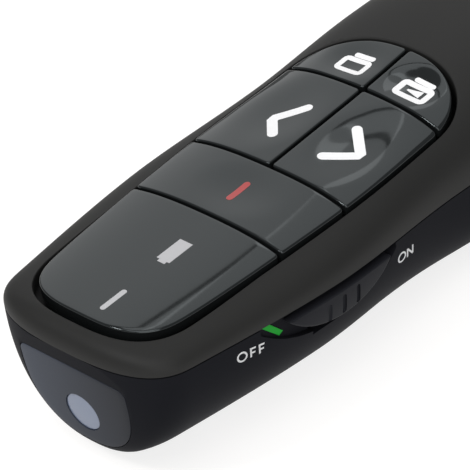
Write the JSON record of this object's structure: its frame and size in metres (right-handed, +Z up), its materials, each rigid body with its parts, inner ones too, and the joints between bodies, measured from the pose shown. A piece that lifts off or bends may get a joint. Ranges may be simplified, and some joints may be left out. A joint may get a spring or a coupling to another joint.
{
  "type": "wireless presentation clicker",
  "caption": "Handheld presentation remote with a glossy keypad, a laser in the nose, a side power slider, cells behind a sliding door and a USB receiver stowed in the tail.",
  "frame": {"origin": "centre of the flat that it lies on, at the middle of its length", "axes": "+Z up, out of the keypad; -Y towards the laser nose, +Y towards the tail; +X towards the side with the power slider"},
  "size_m": [0.0384, 0.115, 0.0263],
  "materials": {
    "soft_touch_black": "warm black soft-touch paint, fine grain, low sheen",
    "satin_black": "bluish black moulded plastic, fine spark-eroded grain",
    "plain_black": "black moulded plastic, plain",
    "gloss_black": "high-gloss black with printed marks",
    "smoke_window": "smoky translucent plastic, satin",
    "lens_clear": "clear, slightly frosted",
    "flag_green": "bright green",
    "board_green": "green solder mask",
    "tin": "tinned sheet",
    "screw_steel": "zinc plated",
    "brass": "turned brass",
    "gold_plate": "gold-plated contact",
    "cell_jacket": "printed jacket round a cell, with a cell's mean density",
    "light_white": "white moulded plastic",
    "ceramic_tan": "ceramic chip"
  },
  "bodies": {
    "root": {"top_case": "soft_touch_black", "bottom_case": "satin_black", "key_frame": "plain_black", "front_panel": "gloss_black", "tact_switches": "tin", "main_pcb": "board_green", "pcb_screws": "screw_steel", "case_screws": "screw_steel", "front_window": "smoke_window", "laser_lens": "lens_clear", "laser_barrel": "brass", "laser_collimator": "lens_clear", "laser_diode": "tin", "laser_board": "board_green", "switch_flag": "flag_green", "slide_switch": "tin", "status_leds": "light_white", "light_guides": "lens_clear", "radio_chip": "plain_black", "control_chip": "plain_black", "crystal": "tin", "capacitors": "ceramic_tan", "antenna": "gold_plate", "chassis": "plain_black", "battery_left": "cell_jacket", "battery_right": "cell_jacket", "battery_springs": "tin", "battery_plates": "tin", "battery_bridge": "tin"},
    "laser_button": {"laser_key": "gloss_black", "laser_plunger": "plain_black"},
    "next_button": {"next_key": "gloss_black", "next_plunger": "plain_black"},
    "back_button": {"back_key": "gloss_black", "back_plunger": "plain_black"},
    "play_button": {"play_key": "gloss_black", "play_plunger": "plain_black"},
    "blank_button": {"blank_key": "gloss_black", "blank_plunger": "plain_black"},
    "power_switch": {"power_slider": "satin_black", "slide_actuator": "plain_black"},
    "door": {"battery_door": "satin_black"},
    "receiver": {"receiver_case": "satin_black", "receiver_plug": "tin", "receiver_tongue": "light_white", "receiver_contacts": "gold_plate"}
  },
  "joints": [
    {"name": "laser_press", "type": "slide", "parent": "root", "child": "laser_button", "axis": [0, 0, -1], "range_m": [0, 0.0005], "stiffness_N_per_m": 800, "springref_m": -0.0006},
    {"name": "next_press", "type": "slide", "parent": "root", "child": "next_button", "axis": [0, 0, -1], "range_m": [0, 0.0005], "stiffness_N_per_m": 800, "springref_m": -0.0006},
    {"name": "back_press", "type": "slide", "parent": "root", "child": "back_button", "axis": [0, 0, -1], "range_m": [0, 0.0005], "stiffness_N_per_m": 800, "springref_m": -0.0006},
    {"name": "play_press", "type": "slide", "parent": "root", "child": "play_button", "axis": [0, 0, -1], "range_m": [0, 0.0005], "stiffness_N_per_m": 800, "springref_m": -0.0006},
    {"name": "blank_press", "type": "slide", "parent": "root", "child": "blank_button", "axis": [0, 0, -1], "range_m": [0, 0.0005], "stiffness_N_per_m": 800, "springref_m": -0.0006},
    {"name": "power_slide", "type": "slide", "parent": "root", "child": "power_switch", "axis": [0, -1, 0], "range_m": [0, 0.003]},
    {"name": "door_slide", "type": "slide", "parent": "root", "child": "door", "axis": [0, 1, 0], "range_m": [0, 0.006]},
    {"name": "receiver_pull", "type": "slide", "parent": "root", "child": "receiver", "axis": [0, 1, 0], "range_m": [0, 0.044]}
  ]
}
